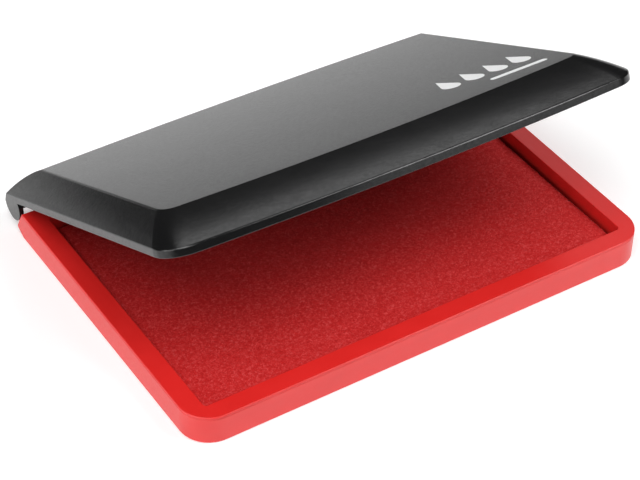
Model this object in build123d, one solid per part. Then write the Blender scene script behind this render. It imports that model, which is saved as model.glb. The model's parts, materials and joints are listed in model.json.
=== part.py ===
from build123d import *
from math import cos, radians, sin, sqrt
import os

# Office ink pad: a shallow red tray and rim frame round an inked pad, under a dark hinged lid.
# Millimetres. X runs left to right, Y front to back, Z up. The origin is the middle of the
# underside, below the middle of the pad. The lid is drawn shut, then turned open on its hinge.

# Base, outside
LENGTH = 119.4            # left to right
DEPTH = 80.3              # front to back, at the rim
BASE_HEIGHT = 7.3         # underside to rim
FRONT_CORNER = 7.2        # plan radius of the front corners, of the lid's lip too
TAIL_CORNER = 0.5         # rounding of the hindmost edge
HEEL_Y = 39.8             # where the flat underside ends
TAIL_Y, TAIL_Z = 43.3, 1.75    # hindmost edge of the base
WALL = 1.5                # tray walls and floor
SEAM_Z = 6.7              # joint between the tray and the rim frame
SEAM_BEVEL = 0.12         # tiny bevel each side of that joint
RIM_EDGE = 0.3            # rounding of the rim's outer edge
FOOT_EDGE = 0.3           # rounding of the underside's edge

# Well that holds the pad
WINDOW_LENGTH, WINDOW_DEPTH = 110.0, 71.2
WINDOW_CORNER = 0.8
WINDOW_EDGE = 0.25        # rounding of the rim's inner edge
SKIRT = 1.2               # thickness of the frame's wall round the well
FLANGE_Z = 6.0            # underside of the frame's thicker inner part
FIT_GAP = 0.1             # side clearance of parts that drop into each other

# Pad, from the tray's floor up
PAD_LENGTH, PAD_DEPTH = 108.8, 70.0
PAD_CORNER = 1.0
CLOTH = 0.35              # cloth thickness
PLATE_TOP, FOAM_TOP, FELT_TOP, CLOTH_TOP = 2.1, 3.1, 3.9, 4.25
PAD_EDGE = 0.9            # rounding of the cloth over the pad's edge
TUCK_GAP = 0.05           # between the cloth's turned-down edge and the layers inside

# Label let into the underside
LABEL_LENGTH, LABEL_DEPTH, LABEL_Y = 64.0, 22.0, 20.0
LABEL_CORNER = 1.5
LABEL_POCKET, LABEL_SHEET = 0.25, 0.12

# Hinge
HINGE_Y, HINGE_Z = 45.25, 6.63
OPEN_ANGLE = 26.43        # how far the lid stands open
STOP_ANGLE = 121.0        # opening at which the lid's back edge meets the arms
STOP_REACH = 4.6          # how far from the axis that stop goes on
EAR_RADIUS = 3.9
ARM_RADIUS = 1.95
ARM_INNER, ARM_OUTER = 51.4, 54.9    # faces of each arm along X
BOSS_RADIUS = 1.7
PIN_RADIUS = 1.0
PIN_CLEARANCE = 0.05      # radial, pin in bore
PIN_TIP = 0.3             # bevel on the pin's end
SIDE_CLEARANCE = 0.15     # boss face to arm
WEB_ROOT = 0.15           # how deep each arm's web is sunk into the base's sloping back

# Lid, shut
LID_WALL = 1.1
LIP_TOP = 9.2             # top of the upright lip
LID_TOP = 13.92           # top face
LIP_BOW = 2.9             # how far the front edge bows out
TOP_CORNER = 3.5          # plan radius of the top face's front corners
SIDE_SLOPE, FRONT_SLOPE = 6.66, 12.4       # how far the top face stands in from the lip
BULGE = 0.5               # how far the slopes swell at mid height
SHOULDER_DROP, SLOPE_SHIFT = 0.65, 0.3     # the hollow's shoulder and slopes, per unit of wall
HIP_END = (34.8, -4.16, 18.3)        # arc of the back at the lid's ends: centre Y, Z and radius
HIP_MIDDLE = (38.28, 2.02, 12.0)     # the same arc at mid length
TOP_EDGE, CREST_EDGE, LIP_EDGE = 1.5, 0.4, 0.25      # edge roundings
SEAL_GAP = 0.35           # sealing rib to the well's wall
SEAL_RIB = 0.8            # rib thickness
SEAL_DIP = 0.8            # how far the rib enters the well

HALF = LENGTH / 2
FRONT = -DEPTH / 2
RIM_BACK = DEPTH / 2
BEYOND = 70.0             # safely outside the object, for cutting shapes
OVERCUT = 1.0             # how far a cutting shape runs past the face it cuts
TOUCH = 0.001             # heights closer than this are the same
HINGE_AXIS = Axis((0, HINGE_Y, HINGE_Z), (1, 0, 0))


def rounded_block(length, depth, z0, z1, corner):
    return Pos(0, 0, z0) * extrude(RectangleRounded(length, depth, corner), z1 - z0)


def slab(z0, z1):
    return Pos(0, 0, z0) * extrude(Rectangle(4 * BEYOND, 4 * BEYOND), z1 - z0)


def along_x(face, x0, x1):
    """Extrude a face, drawn with Y to the right and Z up, from x0 to x1."""
    return Pos(x0, 0, 0) * extrude(Plane.YZ * face, x1 - x0)


def rod(radius, x0, x1):
    """A round rod on the hinge axis."""
    return along_x(Pos(HINGE_Y, HINGE_Z) * Circle(radius), x0, x1)


def on_both_sides(shape):
    return [shape, mirror(shape, about=Plane.YZ)]


def outer_edges(face):
    return face.outer_wire().edges()


def top_face(solid):
    return solid.faces().sort_by(Axis.Z)[-1]


def bottom_face(solid):
    return solid.faces().sort_by(Axis.Z)[0]


# ---------------------------------------------------------------- base

def sloping_back(z):
    """Y of the base's sloping back at one height."""
    return RIM_BACK + (BASE_HEIGHT - z) * (TAIL_Y - RIM_BACK) / (BASE_HEIGHT - TAIL_Z)


def base_side_view(top):
    """Side view of the base, with its sloping back carried up to the given height."""
    corners = [(FRONT, 0), (HEEL_Y, 0), (TAIL_Y, TAIL_Z), (sloping_back(top), top), (FRONT, top)]
    return make_face(Polyline(*corners, close=True))


def base_plan(inset=0.0):
    """Plan of the base with round front corners; it runs past the back, which the side view cuts."""
    front, back = FRONT + inset, BEYOND
    plan = Pos(0, (front + back) / 2) * Rectangle(LENGTH - 2 * inset, back - front)
    return fillet(plan.vertices().group_by(Axis.Y)[0], FRONT_CORNER - inset)


def base_block():
    solid = extrude(base_plan(), BASE_HEIGHT) & along_x(base_side_view(BASE_HEIGHT), -BEYOND, BEYOND)
    solid = fillet(solid.edges().filter_by(Axis.X).group_by(Axis.Y)[-1], TAIL_CORNER)
    solid = fillet(outer_edges(top_face(solid)), RIM_EDGE)
    return fillet(outer_edges(bottom_face(solid)), FOOT_EDGE)


def tray_cavity():
    side = offset(base_side_view(BASE_HEIGHT + 2 * WALL), -WALL, kind=Kind.INTERSECTION)
    return extrude(base_plan(WALL), BASE_HEIGHT + WALL) & along_x(side, -BEYOND, BEYOND)


def opened(y, z, angle):
    """Where a point of the shut lid, given from the hinge axis, lies once the lid is open."""
    c, s = cos(radians(angle)), sin(radians(angle))
    return HINGE_Y + y * c + z * s, HINGE_Z - y * s + z * c


def hinge_arm():
    """An eye round the hinge axis on a web from the tray's back, whose lower face stops the lid."""
    lip = BASE_HEIGHT - HINGE_Z
    stop_top = opened(sqrt(ARM_RADIUS ** 2 - lip ** 2), lip, STOP_ANGLE)
    stop_bottom = opened(STOP_REACH, lip, STOP_ANGLE)
    root_top, root_bottom = SEAM_Z - FIT_GAP, stop_bottom[1]
    web = Polyline((HINGE_Y, HINGE_Z + ARM_RADIUS),
                   (sloping_back(root_top) - WEB_ROOT, root_top),
                   (sloping_back(root_bottom) - WEB_ROOT, root_bottom),
                   stop_bottom, stop_top, (HINGE_Y, HINGE_Z), close=True)
    return along_x(make_face(web), ARM_INNER, ARM_OUTER) + rod(ARM_RADIUS, ARM_INNER, ARM_OUTER)


def label_outline(gap):
    return Pos(0, LABEL_Y) * RectangleRounded(LABEL_LENGTH + gap, LABEL_DEPTH + gap, LABEL_CORNER)


def base_tray():
    tray = base_block() & slab(-OVERCUT, SEAM_Z)
    tray = chamfer(outer_edges(top_face(tray)), SEAM_BEVEL)
    tray -= tray_cavity()
    for arm in on_both_sides(hinge_arm()):
        tray += arm
    for bore in on_both_sides(rod(PIN_RADIUS + PIN_CLEARANCE, ARM_INNER - OVERCUT, ARM_OUTER + OVERCUT)):
        tray -= bore
    return tray - extrude(label_outline(2 * FIT_GAP), LABEL_POCKET)


def underside_label():
    return Pos(0, 0, LABEL_POCKET - LABEL_SHEET) * extrude(label_outline(0), LABEL_SHEET)


def rim_frame():
    """The visible rim, with a flange that drops inside the tray's walls and a skirt to the floor."""
    rim = base_block() & slab(SEAM_Z, BASE_HEIGHT + OVERCUT)
    rim = chamfer(outer_edges(bottom_face(rim)), SEAM_BEVEL)
    inset = WALL + FIT_GAP
    rim += rounded_block(LENGTH - 2 * inset, DEPTH - 2 * inset, FLANGE_Z, SEAM_Z, FRONT_CORNER - inset)
    rim += rounded_block(WINDOW_LENGTH + 2 * SKIRT, WINDOW_DEPTH + 2 * SKIRT, WALL, FLANGE_Z,
                         WINDOW_CORNER + SKIRT)
    rim -= rounded_block(WINDOW_LENGTH, WINDOW_DEPTH, 0, BASE_HEIGHT + OVERCUT, WINDOW_CORNER)
    return fillet(top_face(rim).inner_wires()[0].edges(), WINDOW_EDGE)


# ---------------------------------------------------------------- pad

def pad_layer(inset, z0, z1):
    return rounded_block(PAD_LENGTH - 2 * inset, PAD_DEPTH - 2 * inset, z0, z1, PAD_CORNER - inset)


def domed_layer(inset, z0, z1, edge):
    layer = pad_layer(inset, z0, z1)
    return fillet(outer_edges(top_face(layer)), edge)


def pad_plate():
    return pad_layer(CLOTH + TUCK_GAP, WALL, PLATE_TOP)


def foam_layer():
    return pad_layer(CLOTH + TUCK_GAP, PLATE_TOP, FOAM_TOP)


def felt_layer():
    return domed_layer(CLOTH + TUCK_GAP, FOAM_TOP, FELT_TOP, PAD_EDGE - CLOTH)


def ink_cloth():
    """Cloth stretched over the felt, with its edges turned down to the tray's floor."""
    return domed_layer(0, WALL, CLOTH_TOP, PAD_EDGE) - domed_layer(CLOTH, WALL, FELT_TOP, PAD_EDGE - CLOTH)


# ---------------------------------------------------------------- lid

def lid_outline(z, side_inset, front_inset, corner):
    """Plan of the lid at one height; it runs past the back, which the hip cuts."""
    x, front = HALF - side_inset, FRONT + front_inset
    outline = Curve() + [
        ThreePointArc((-x, front), (0, front - LIP_BOW), (x, front)),
        Polyline((x, front), (x, BEYOND), (-x, BEYOND), (-x, front)),
    ]
    face = make_face(outline)
    return Pos(0, 0, z) * fillet(face.vertices().group_by(Axis.Y)[0], corner)


def lid_cap(skin):
    """The lid's outside (skin 0) or its hollow (skin = wall thickness), before the back is cut."""
    shoulder = LIP_TOP - SHOULDER_DROP * skin
    ceiling = LID_TOP - skin
    side, front = SIDE_SLOPE + SLOPE_SHIFT * skin, FRONT_SLOPE + SLOPE_SHIFT * skin
    lip = lid_outline(shoulder, skin, skin, FRONT_CORNER - skin)
    middle = lid_outline((shoulder + ceiling) / 2, (side + skin) / 2 - BULGE, (front + skin) / 2 - BULGE,
                         (FRONT_CORNER + TOP_CORNER) / 2 - skin)
    top = lid_outline(ceiling, side, front, TOP_CORNER - skin)
    floor = BASE_HEIGHT - (OVERCUT if skin else 0)
    upright = lid_outline(floor, skin, skin, FRONT_CORNER - skin)
    return loft([lip, middle, top]) + extrude(upright, shoulder - floor)


def hip_section(x, hip, skin):
    """Side view of the lid at one place along X: everything in front of its rounded back."""
    centre_y, centre_z, radius = hip[0], hip[1], hip[2] - skin

    def on_arc(z):
        return centre_y + sqrt(radius ** 2 - (z - centre_z) ** 2), z

    ceiling = LID_TOP - skin
    upper, middle, lower = on_arc(ceiling), on_arc((ceiling + HINGE_Z) / 2), on_arc(HINGE_Z)
    outline = Curve() + [
        ThreePointArc(upper, middle, lower),
        Polyline(lower, (lower[0], 0), (-BEYOND, 0), (-BEYOND, 2 * LID_TOP), (upper[0], 2 * LID_TOP), upper),
    ]
    return Pos(x, 0, 0) * (Plane.YZ * make_face(outline))


def hip_block(skin):
    return loft([hip_section(-HALF, HIP_END, skin), hip_section(0, HIP_MIDDLE, skin),
                 hip_section(HALF, HIP_END, skin)])


def seal_rib(lid):
    """Rib under the lid that dips into the well all round the pad."""
    def ring(z0, z1):
        length, depth = WINDOW_LENGTH - 2 * SEAL_GAP, WINDOW_DEPTH - 2 * SEAL_GAP
        hole = rounded_block(length - 2 * SEAL_RIB, depth - 2 * SEAL_RIB, z0, z1, WINDOW_CORNER)
        return rounded_block(length, depth, z0, z1, WINDOW_CORNER) - hole

    return ring(BASE_HEIGHT - SEAL_DIP, LIP_TOP) + (ring(LIP_TOP, LID_TOP) & lid)


def hinge_ear():
    """Ear in line with the lid's side wall, with the boss and pin that run in the base's arm."""
    ear = rod(EAR_RADIUS, HALF - LID_WALL, HALF) & slab(0, LIP_TOP) & hip_block(0)
    boss = rod(BOSS_RADIUS, ARM_OUTER + SIDE_CLEARANCE, HALF - LID_WALL)
    pin = rod(PIN_RADIUS, ARM_INNER + PIN_TIP, ARM_OUTER + SIDE_CLEARANCE)
    pin = chamfer(outer_edges(pin.faces().sort_by(Axis.X)[0]), PIN_TIP)
    return ear + boss + pin


def level_edges(solid, z):
    return [e for e in solid.edges() if abs((e @ 0 - e @ 1).Z) < TOUCH and abs((e @ 0.5).Z - z) < TOUCH]


def lid_shell():
    outside = lid_cap(0) & hip_block(0)
    outside = fillet(outer_edges(top_face(outside)), TOP_EDGE)
    outside = fillet(level_edges(outside, LIP_TOP), CREST_EDGE)
    shell = outside - (lid_cap(LID_WALL) & hip_block(LID_WALL))
    shell += seal_rib(outside)
    brim = [f for f in shell.faces().filter_by(Axis.Z) if abs(f.center().Z - BASE_HEIGHT) < TOUCH]
    shell = fillet(outer_edges(brim[0]), LIP_EDGE)
    for ear in on_both_sides(hinge_ear()):
        shell += ear
    return shell.rotate(HINGE_AXIS, -OPEN_ANGLE)


NODES = {
    "base_tray": base_tray,
    "underside_label": underside_label,
    "rim_frame": rim_frame,
    "pad_plate": pad_plate,
    "foam_layer": foam_layer,
    "felt_layer": felt_layer,
    "ink_cloth": ink_cloth,
    "lid_shell": lid_shell,
}

os.makedirs("parts", exist_ok=True)
for name, make in NODES.items():
    export_step(make(), f"parts/{name}.step")
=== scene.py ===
import json
import math

import bmesh
import bpy
from mathutils import Matrix, Vector, noise


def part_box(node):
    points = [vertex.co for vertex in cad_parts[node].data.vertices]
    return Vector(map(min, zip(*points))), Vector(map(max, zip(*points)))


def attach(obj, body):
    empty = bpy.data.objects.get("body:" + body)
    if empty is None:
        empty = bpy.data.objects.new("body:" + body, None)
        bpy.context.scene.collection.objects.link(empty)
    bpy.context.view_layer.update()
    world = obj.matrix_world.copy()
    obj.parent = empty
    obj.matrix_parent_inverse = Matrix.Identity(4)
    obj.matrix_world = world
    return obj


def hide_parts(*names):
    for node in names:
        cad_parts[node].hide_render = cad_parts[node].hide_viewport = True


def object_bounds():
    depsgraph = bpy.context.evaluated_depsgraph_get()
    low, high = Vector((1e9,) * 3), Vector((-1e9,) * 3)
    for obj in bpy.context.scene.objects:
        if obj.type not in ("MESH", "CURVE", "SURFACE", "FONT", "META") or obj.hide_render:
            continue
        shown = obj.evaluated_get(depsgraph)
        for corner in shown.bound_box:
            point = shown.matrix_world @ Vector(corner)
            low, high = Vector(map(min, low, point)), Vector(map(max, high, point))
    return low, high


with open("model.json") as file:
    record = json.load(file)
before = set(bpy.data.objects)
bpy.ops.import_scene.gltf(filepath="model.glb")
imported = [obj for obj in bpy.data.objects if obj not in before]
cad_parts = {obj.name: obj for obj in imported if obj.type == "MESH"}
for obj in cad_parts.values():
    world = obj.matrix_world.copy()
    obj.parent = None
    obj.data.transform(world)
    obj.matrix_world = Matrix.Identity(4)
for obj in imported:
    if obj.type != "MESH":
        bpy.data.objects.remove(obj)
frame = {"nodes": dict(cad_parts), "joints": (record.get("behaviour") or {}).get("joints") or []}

# An open ink pad: red moulded tray and rim, felt-like ink cloth, dark hinged lid.
# Metres and degrees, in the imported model's frame.
CAD_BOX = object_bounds()
MM = 0.001

# Camera, placed round a point near the middle of the pad
CAMERA_AZIMUTH, CAMERA_ELEVATION, CAMERA_ROLL = -33.36, 40.39, 1.27
CAMERA_TARGET = Vector((-7.72, -5.87, 10.0)) * MM
CAMERA_DISTANCE = 464.2 * MM
CAMERA_LENS = 115.8

# Ink cloth
CLOTH_THICK = 0.35 * MM
CLOTH_EDGE = 0.9 * MM           # rounding over the pad's edge
CLOTH_CORNER = 1.0 * MM         # plan radius of its corners
CLOTH_STEP = 0.36 * MM          # mesh spacing across the top
CLOTH_RISE = 0.05 * MM          # hem's height above the tray's floor
EDGE_STEPS = 5                  # mesh rows over the rounded edge
SKIRT_STEPS = 4                 # mesh rows down the turned edge
FELT_LUMPS = ((0.95, 0.040), (2.4, 0.040), (14.0, 0.050))     # size and height of each kind, mm

# Painted shade and ink staining low on the well's wall, just above the cloth
SHADE_AND_STAIN_REACH = 0.9 * MM          # from the cloth's sides out to past the wall's face
SHADE_AND_STAIN_BELOW = 0.2 * MM          # how far under the cloth's top it starts to fade
SHADE_AND_STAIN_ABOVE = 1.1 * MM          # how far above the cloth's top it is gone
SHADE_AND_STAIN_WANDER = 0.25 * MM        # how far its faded edge strays up and down
SHADE_AND_STAIN_UNDER = 0.1 * MM          # how far it goes on below the cloth, short of the tray's underside
SHADE_AND_STAIN_SHARE = 0.25              # how much of the dark colour of the painted shade and ink staining shows where it is strongest

# Printed mark on the lid's top face, in the shut lid's x and y
DROP_COUNT = 4
DROP_RADIUS = 2.3 * MM
DROP_TIP = 2.8                  # tip's distance from the drop's centre, in radii
DROP_PITCH = 6.5 * MM
DROP_ROW = Vector((26.0, -15.9)) * MM       # centre of the first drop
BAR_START = Vector((32.5, -22.4)) * MM
BAR_LENGTH, BAR_WIDTH = 15.5 * MM, 1.7 * MM
PRINT_RISE = 0.02 * MM
PRINT_SINK = 0.01 * MM          # how far its underside reaches into the lid's skin

# Softboxes aimed at the pad: azimuth from the front, turning to the right, elevation,
# width, height and strength
SOFTBOX_DISTANCE = 0.9
SOFTBOXES = {
    "key": (-66, 62, 0.55, 0.55, 3.7),
    "front_key": (-15, 50, 0.50, 0.50, 1.1),
    "right_fill": (52, 50, 0.38, 0.50, 6.8),
    "left_strip": (-90, 17, 0.60, 0.40, 3.8),
    "front_strip": (40, 17, 0.60, 0.40, 1.1),
}
# Level panels overhead: x range, y range and strength
PANEL_HEIGHT = 0.95
PANELS = {
    "rear_panel": ((0.0, 1.2), (0.80, 1.24), 1.9),
    "left_panel": ((-1.5, 0.0), (-1.0, 0.3), 0.7),
}
AMBIENT = 0.02                  # light from the room
BACKDROP = 0.95                 # what the camera sees past the floor
FLOOR_SIZE = 2.0
FLOOR_FADE = (0.24, 0.66)       # distances from the pad between which it fades away
FLOOR_GAP = 0.15 * MM           # keeps the floor off the underside
FLOOR_GLOW = 0.26               # its own light close to the pad, like a light table
GLOW_FADE = (0.08, 0.20)        # distances between which the glow fades

NOISE_RANGE = (0.3, 0.7)        # where most of a noise texture's values lie


# ---------------------------------------------------------------- shader helpers

class Shader:
    """A node material, with short ways to add nodes and feed their sockets."""

    def __init__(self, name):
        self.material = bpy.data.materials.new(name)
        self.material.use_nodes = True
        self.tree = self.material.node_tree
        self.surface = self.tree.nodes["Principled BSDF"]
        self.place = self.node("TexCoord").outputs["Object"]

    def feed(self, node, socket, value):
        target = node.inputs[socket]
        if isinstance(value, bpy.types.NodeSocket):
            self.tree.links.new(value, target)
        elif hasattr(value, "__len__") and target.type == "RGBA":
            target.default_value = (*value, 1.0)
        else:
            target.default_value = value

    def node(self, kind, inputs=None, **settings):
        made = self.tree.nodes.new("ShaderNode" + kind)
        for name, value in settings.items():
            setattr(made, name, value)
        for socket, value in (inputs or {}).items():
            self.feed(made, socket, value)
        return made

    def noise(self, size_mm, detail=2.0, roughness=0.5, distortion=0.0):
        """Noise from 0 to 1 with lumps of about this size."""
        inputs = {"Vector": self.place, "Scale": 1 / (size_mm * MM), "Detail": detail,
                  "Roughness": roughness, "Distortion": distortion}
        return self.node("TexNoise", inputs).outputs["Fac"]

    def remap(self, value, low, high, to_low=0.0, to_high=1.0, smooth=False):
        inputs = {"Value": value, "From Min": low, "From Max": high,
                  "To Min": to_low, "To Max": to_high}
        kind = "SMOOTHSTEP" if smooth else "LINEAR"
        return self.node("MapRange", inputs, interpolation_type=kind).outputs["Result"]

    def cloud(self, size_mm, detail=2.0, roughness=0.5, distortion=0.0, to_low=0.0, to_high=1.0):
        """Noise stretched so that its usual range runs from to_low to to_high."""
        plain = self.noise(size_mm, detail, roughness, distortion)
        return self.remap(plain, *NOISE_RANGE, to_low, to_high)

    def math(self, operation, a, b=0.0):
        return self.node("Math", {0: a, 1: b}, operation=operation).outputs[0]

    def mix(self, share, a, b):
        """A colour between two colours."""
        made = self.node("Mix", data_type="RGBA")
        factor, first, second, result = 0, 6, 7, 2      # its sockets for colours
        for socket, value in zip((factor, first, second), (share, a, b)):
            self.feed(made, socket, value)
        return made.outputs[result]

    def bump(self, height, distance_mm, strength=1.0, below=None):
        inputs = {"Height": height, "Distance": distance_mm * MM, "Strength": strength}
        if below is not None:
            inputs["Normal"] = below
        return self.node("Bump", inputs).outputs["Normal"]

    def finish(self, **values):
        for socket, value in values.items():
            self.feed(self.surface, socket.replace("_", " "), value)
        return self.material


# ---------------------------------------------------------------- materials

def well_shade_and_stain(s):
    """How strongly each point is darkened by painted shade and ink staining: the well's wall, just
    above the cloth.
    """
    low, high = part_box("ink_cloth")
    position = s.node("SeparateXYZ", {"Vector": s.place}).outputs
    inside_x = s.math("LESS_THAN", s.math("ABSOLUTE", position["X"]), high.x + SHADE_AND_STAIN_REACH)
    inside_y = s.math("LESS_THAN", s.math("ABSOLUTE", position["Y"]), high.y + SHADE_AND_STAIN_REACH)
    ragged = s.cloud(1.6, 3.0, to_low=-SHADE_AND_STAIN_WANDER, to_high=SHADE_AND_STAIN_WANDER)
    height = s.math("ADD", position["Z"], ragged)
    inside_z = s.math("GREATER_THAN", position["Z"], low.z - SHADE_AND_STAIN_UNDER)
    inside = s.math("MULTIPLY", s.math("MULTIPLY", inside_x, inside_y), inside_z)
    shade_and_stain = s.remap(height, high.z - SHADE_AND_STAIN_BELOW, high.z + SHADE_AND_STAIN_ABOVE, SHADE_AND_STAIN_SHARE, 0.0, smooth=True)
    return s.math("MULTIPLY", inside, shade_and_stain)


def moulded_red():
    """Satin red plastic; the well's wall is darkened low down by painted shade and ink staining."""
    s = Shader("moulded_red")
    plain = s.mix(s.cloud(9.0, 3.0), (0.66, 0.014, 0.012), (0.70, 0.017, 0.015))
    # painted shade and ink staining: a dark red-brown low on the well's wall, next to the cloth
    colour = s.mix(well_shade_and_stain(s), plain, (0.180, 0.020, 0.012))
    rough = s.cloud(0.5, to_low=0.33, to_high=0.42)
    waves = s.bump(s.noise(7.0, 1.0), 0.020)
    grain = s.bump(s.noise(0.22), 0.0016, below=waves)
    return s.finish(Base_Color=colour, Roughness=rough, Normal=grain, IOR=1.57)


def moulded_dark():
    """Satin near-black plastic, finely mottled, with a still finer spark-eroded grain."""
    s = Shader("moulded_dark")
    colour = s.mix(s.cloud(11.0, 3.0), (0.0065, 0.0065, 0.0067), (0.0080, 0.0080, 0.0082))
    rough = s.cloud(0.6, to_low=0.165, to_high=0.205)
    waves = s.bump(s.noise(16.0, 1.0), 0.020)
    mottle = s.noise(0.80)
    pitted = s.bump(mottle, 0.0055, below=waves)
    grain = s.bump(s.noise(0.2), 0.0020, below=pitted)
    gloss = s.remap(mottle, *NOISE_RANGE, 0.36, 0.56)
    return s.finish(Base_Color=colour, Roughness=rough, Normal=grain, IOR=1.5, Specular_IOR_Level=gloss)


def inked_cloth():
    """Matted felt, unevenly soaked, with a soft sheen from its nap."""
    s = Shader("inked_cloth")
    soak = s.cloud(13.0, 3.0)
    blotch = s.cloud(1.9, 3.0, 0.6, 0.4)
    fibre = s.remap(s.noise(0.56, 3.0, 0.6, 1.0), 0.34, 0.66)
    dark = s.mix(soak, (0.430, 0.0016, 0.0018), (0.480, 0.0024, 0.0026))
    pale = s.mix(blotch, (0.550, 0.0080, 0.0085), (0.600, 0.0110, 0.0115))
    # painted glints: the palest fibre specks get a whitish pink base colour, standing in for specular
    # glints on wet fibres
    painted_glint = s.math("POWER", fibre, 3.0)
    colour = s.mix(painted_glint, s.mix(fibre, dark, pale), (0.640, 0.0500, 0.0510))
    rough = s.remap(blotch, 0.0, 1.0, 0.62, 0.82)
    lumps = s.bump(s.noise(1.6, 2.0, 0.6), 0.10)
    nap = s.bump(s.noise(0.70, 3.0, 0.65, 0.8), 0.12, below=lumps)
    return s.finish(Base_Color=colour, Roughness=rough, Normal=nap, IOR=1.4,
                    Sheen_Weight=0.20, Sheen_Roughness=0.4, Sheen_Tint=(1.0, 0.45, 0.42))


def soaked_felt():
    s = Shader("soaked_felt")
    fibre = s.cloud(0.4, 4.0, 0.7, 1.0)
    colour = s.mix(fibre, (0.20, 0.006, 0.007), (0.33, 0.011, 0.012))
    return s.finish(Base_Color=colour, Roughness=0.9, Normal=s.bump(fibre, 0.08))


def open_foam():
    s = Shader("open_foam")
    cell_size = 0.5 * MM
    cells = s.node("TexVoronoi", {"Vector": s.place, "Scale": 1 / cell_size}).outputs["Distance"]
    # painted shade: the pits at the cells' middles, lowest in the bump, are painted darkest
    colour = s.mix(cells, (0.16, 0.02, 0.02), (0.42, 0.10, 0.09))
    return s.finish(Base_Color=colour, Roughness=0.9, Normal=s.bump(cells, 0.15))


def grey_board():
    s = Shader("grey_board")
    fleck = s.remap(s.noise(0.3, 4.0, 0.7), 0.35, 0.65)
    colour = s.mix(fleck, (0.55, 0.54, 0.51), (0.68, 0.67, 0.64))
    return s.finish(Base_Color=colour, Roughness=0.8, Normal=s.bump(fleck, 0.02))


def label_paper():
    s = Shader("label_paper")
    fibre = s.noise(0.25, 4.0, 0.7, 2.0)
    colour = s.mix(fibre, (0.80, 0.80, 0.78), (0.88, 0.88, 0.86))
    return s.finish(Base_Color=colour, Roughness=0.65, Normal=s.bump(fibre, 0.008))


def white_print():
    """Pad-printed ink: opaque, with a faintly mottled gloss."""
    s = Shader("white_print")
    cover = s.cloud(0.35, 3.0)
    colour = s.mix(cover, (0.93, 0.93, 0.93), (0.97, 0.97, 0.97))
    return s.finish(Base_Color=colour, Roughness=s.remap(cover, 0.0, 1.0, 0.38, 0.5))


def paint(piece, material):
    piece.data.materials.clear()
    piece.data.materials.append(material)


# ---------------------------------------------------------------- ink cloth

def spaced(half, edge, step):
    """Places across the cloth from -half to half, closer together over the rounded edges."""
    rows = [edge * (1 - math.cos(math.radians(90 * k / EDGE_STEPS))) for k in range(EDGE_STEPS)]
    count = round(2 * (half - edge) / step)
    flat = [edge - half + 2 * (half - edge) * k / count for k in range(count + 1)]
    return [-half + d for d in rows] + flat + [half - d for d in reversed(rows)]


def drawn_in(x, y, half, inset):
    """A point of the rounded outline, moved in towards the middle by an inset."""
    centre = [math.copysign(min(abs(v), h - CLOTH_CORNER), v) for v, h in zip((x, y), half)]
    out = Vector((x - centre[0], y - centre[1]))
    return Vector(centre) + out.normalized() * (CLOTH_CORNER - inset)


def rounded_corner(x, y, half):
    """Moves a point of the square grid so that the grid's corners are round."""
    past = [abs(v) - (h - CLOTH_CORNER) for v, h in zip((x, y), half)]
    if min(past) <= 0:
        return x, y
    shrink = max(past) / math.hypot(*past)
    return [math.copysign(h - CLOTH_CORNER + p * shrink, v) for v, h, p in zip((x, y), half, past)]


def edge_height(depth, edge):
    """How far below the top the cloth lies, at a distance in from its edge."""
    return edge - math.sqrt(max(edge ** 2 - (edge - min(depth, edge)) ** 2, 0.0))


def felt_lump(place):
    return sum(h * MM * noise.noise(place / (size * MM)) for size, h in FELT_LUMPS)


def cloth_top(bm, half, top):
    """The lumpy top with its rounded edge, as a grid of points."""
    xs, ys = (spaced(h, CLOTH_EDGE, CLOTH_STEP) for h in half)
    grid = []
    for x in xs:
        column = []
        for y in ys:
            depth = min(half[0] - abs(x), half[1] - abs(y))
            px, py = rounded_corner(x, y, half)
            column.append(bm.verts.new((px, py, top - edge_height(depth, CLOTH_EDGE))))
        grid.append(column)
    for left, right in zip(grid, grid[1:]):
        for a, b, c, d in zip(left, right, right[1:], left[1:]):
            bm.faces.new((a, b, c, d))
    bm.normal_update()
    for vertex in bm.verts:
        vertex.co += vertex.normal * felt_lump(vertex.co)
    return grid


def hem_rings(bottom, knee):
    """Inset and height of each ring: down the turned edge, in under it and up the lining."""
    rings = [(0.0, knee + (bottom - knee) * k / SKIRT_STEPS) for k in range(1, SKIRT_STEPS + 1)]
    rings += [(CLOTH_THICK, bottom), (CLOTH_THICK, knee)]
    lining = CLOTH_EDGE - CLOTH_THICK
    for k in range(1, EDGE_STEPS + 1):
        angle = math.radians(90 * k / EDGE_STEPS)
        rings.append((CLOTH_THICK + lining * (1 - math.cos(angle)), knee + lining * math.sin(angle)))
    return rings


def cloth_mesh(low, high):
    """A thin closed shell: lumpy top, rounded edge, turned-down hem and smooth lining."""
    half = (high.x, high.y)
    bm = bmesh.new()
    grid = cloth_top(bm, half, high.z)
    last = [column[0] for column in grid] + grid[-1][1:]
    last += [column[-1] for column in reversed(grid[:-1])] + grid[0][-2:0:-1]
    outline = [Vector((v.co.x, v.co.y)) for v in last]
    for inset, z in hem_rings(low.z + CLOTH_RISE, high.z - CLOTH_EDGE):
        ring = [bm.verts.new((*drawn_in(p.x, p.y, half, inset), z)) for p in outline]
        for k, (a, b) in enumerate(zip(last, ring)):
            bm.faces.new((a, last[k - 1], ring[k - 1], b))
        last = ring
    bm.faces.new(last)
    bmesh.ops.recalc_face_normals(bm, faces=bm.faces)
    return made_mesh("ink_cloth_felt", bm)


def made_mesh(name, bm):
    mesh = bpy.data.meshes.new(name)
    bm.to_mesh(mesh)
    bm.free()
    piece = bpy.data.objects.new(name, mesh)
    bpy.context.scene.collection.objects.link(piece)
    return piece


def ink_cloth():
    low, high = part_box("ink_cloth")
    piece = cloth_mesh(low, high)
    for face in piece.data.polygons:
        face.use_smooth = True
    paint(piece, inked_cloth())
    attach(piece, "base")
    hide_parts("ink_cloth")


# ---------------------------------------------------------------- printed mark

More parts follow.
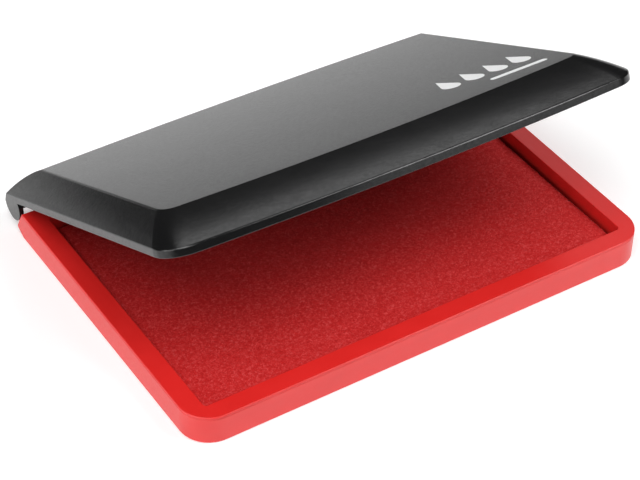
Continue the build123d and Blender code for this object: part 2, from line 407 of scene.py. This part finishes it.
def from_shut():
    """Carries a point of the shut lid to where the open lid holds it."""
    joint = frame["joints"][0]
    pivot = Vector(joint["pos_m"])
    turn = Matrix.Rotation(-math.radians(joint["range_deg"][0]), 4, Vector(joint["axis"]))
    return Matrix.Translation(pivot) @ turn @ Matrix.Translation(-pivot)


def arc(centre, radius, start, end, steps=24):
    angles = [math.radians(start + (end - start) * k / steps) for k in range(steps + 1)]
    return [(centre[0] + radius * math.cos(a), centre[1] + radius * math.sin(a)) for a in angles]


def bar(start, length, width):
    """A bar with round ends."""
    radius = width / 2
    right = arc((start.x + length - radius, start.y), radius, -90, 90)
    return right + arc((start.x + radius, start.y), radius, 90, 270)


def drop(centre, radius):
    """A drop of ink: a circle drawn out to a point."""
    lean = math.degrees(math.acos(1 / DROP_TIP))
    return arc(centre, radius, 90 + lean, 450 - lean) + [(centre.x, centre.y + DROP_TIP * radius)]


def add_print(bm, outline, top):
    """One flat printed shape, standing just proud of the lid's top face."""
    heights = (top - PRINT_SINK, top + PRINT_RISE)
    under, over = ([bm.verts.new((x, y, z)) for x, y in outline] for z in heights)
    bm.faces.new(under)
    bm.faces.new(over)
    for k, (a, b) in enumerate(zip(under, over)):
        bm.faces.new((under[k - 1], a, b, over[k - 1]))


def printed_mark():
    """A plain pictogram printed on the lid: a row of ink drops over a short bar."""
    place = from_shut()
    back = place.inverted()
    top = max((back @ v.co).z for v in frame["nodes"]["lid_shell"].data.vertices)
    bm = bmesh.new()
    for k in range(DROP_COUNT):
        add_print(bm, drop(DROP_ROW + Vector((k * DROP_PITCH, 0)), DROP_RADIUS), top)
    add_print(bm, bar(BAR_START, BAR_LENGTH, BAR_WIDTH), top)
    bmesh.ops.recalc_face_normals(bm, faces=bm.faces)
    bm.transform(place)
    piece = made_mesh("printed_mark", bm)
    paint(piece, white_print())
    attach(piece, "lid")


# ---------------------------------------------------------------- stage, light, camera

def floor_white():
    """Matt white that fades out far from the pad, so that it has no visible end, and glows close to the
    pad like a light table, paling the pad's shadow on it.
    """
    s = Shader("floor_white")
    reach = s.node("VectorMath", {0: s.place}, operation="LENGTH").outputs["Value"]
    glow = s.remap(reach, *GLOW_FADE, FLOOR_GLOW, 0.0, smooth=True)
    s.finish(Base_Color=(0.90, 0.90, 0.90), Roughness=0.7,
             Emission_Color=(1, 1, 1), Emission_Strength=glow)
    fade = s.remap(reach, *FLOOR_FADE, smooth=True)
    clear = s.node("BsdfTransparent").outputs[0]
    mixed = s.node("MixShader", {0: fade, 1: s.surface.outputs[0], 2: clear}).outputs[0]
    s.feed(s.tree.nodes["Material Output"], "Surface", mixed)
    return s.material


def stage():
    bm = bmesh.new()
    bmesh.ops.create_grid(bm, x_segments=8, y_segments=8, size=FLOOR_SIZE / 2)
    floor = made_mesh("floor", bm)
    floor.location.z = CAD_BOX[0].z - FLOOR_GAP
    paint(floor, floor_white())


def surroundings():
    """A nearly dark room that looks pale where the camera sees it directly."""
    world = bpy.data.worlds.new("studio")
    bpy.context.scene.world = world
    world.use_nodes = True
    tree = world.node_tree
    seen = tree.nodes.new("ShaderNodeLightPath")
    level = tree.nodes.new("ShaderNodeMix")
    factor, first, second = level.inputs[0], level.inputs[2], level.inputs[3]
    first.default_value = AMBIENT
    second.default_value = BACKDROP
    tree.links.new(seen.outputs["Is Camera Ray"], factor)
    tree.links.new(level.outputs[0], tree.nodes["Background"].inputs["Strength"])
    tree.nodes["Background"].inputs["Color"].default_value = (1, 1, 1, 1)


def softbox(name, place, aim, size, strength):
    """A rectangular light. A larger one gives more light at the same strength."""
    light = bpy.data.lights.new(name, "AREA")
    light.shape = "RECTANGLE"
    light.size, light.size_y = size
    light.energy = strength * math.pi * size[0] * size[1]
    lamp = bpy.data.objects.new(name, light)
    lamp.location = place
    lamp.rotation_euler = (aim - place).to_track_quat("-Z", "Y").to_euler()
    lamp.visible_camera = False
    bpy.context.scene.collection.objects.link(lamp)


def direction(azimuth, elevation):
    """Unit vector at an azimuth from the front, turning to the right, and an elevation."""
    turn, rise = math.radians(azimuth), math.radians(elevation)
    return Vector((math.cos(rise) * math.sin(turn), -math.cos(rise) * math.cos(turn), math.sin(rise)))


def lights():
    for name, (azimuth, elevation, width, height, strength) in SOFTBOXES.items():
        place = direction(azimuth, elevation) * SOFTBOX_DISTANCE
        softbox(name, place, Vector(), (width, height), strength)
    for name, (xs, ys, strength) in PANELS.items():
        middle = Vector((sum(xs) / 2, sum(ys) / 2, PANEL_HEIGHT))
        below = middle - Vector((0, 0, 1))
        softbox(name, middle, below, (xs[1] - xs[0], ys[1] - ys[0]), strength)


def camera():
    back = direction(CAMERA_AZIMUTH, CAMERA_ELEVATION)
    right = Vector((0, 0, 1)).cross(back).normalized()
    up = back.cross(right)
    roll = math.radians(CAMERA_ROLL)
    across = right * math.cos(roll) + up * math.sin(roll)
    upward = up * math.cos(roll) - right * math.sin(roll)
    data = bpy.data.cameras.new("camera")
    data.lens = CAMERA_LENS
    data.clip_start, data.clip_end = 0.01, 50.0
    eye = bpy.data.objects.new("camera", data)
    turn = Matrix((across, upward, back)).transposed().to_4x4()
    eye.matrix_world = Matrix.Translation(CAMERA_TARGET + back * CAMERA_DISTANCE) @ turn
    bpy.context.scene.collection.objects.link(eye)
    bpy.context.scene.camera = eye


def main():
    camera()
    surroundings()
    lights()
    stage()
    red = moulded_red()
    finishes = {
        "base_tray": red,
        "rim_frame": red,
        "lid_shell": moulded_dark(),
        "underside_label": label_paper(),
        "pad_plate": grey_board(),
        "foam_layer": open_foam(),
        "felt_layer": soaked_felt(),
    }
    for node, material in finishes.items():
        paint(frame["nodes"][node], material)
    ink_cloth()
    printed_mark()
    bpy.context.scene.view_settings.view_transform = "Standard"


main()
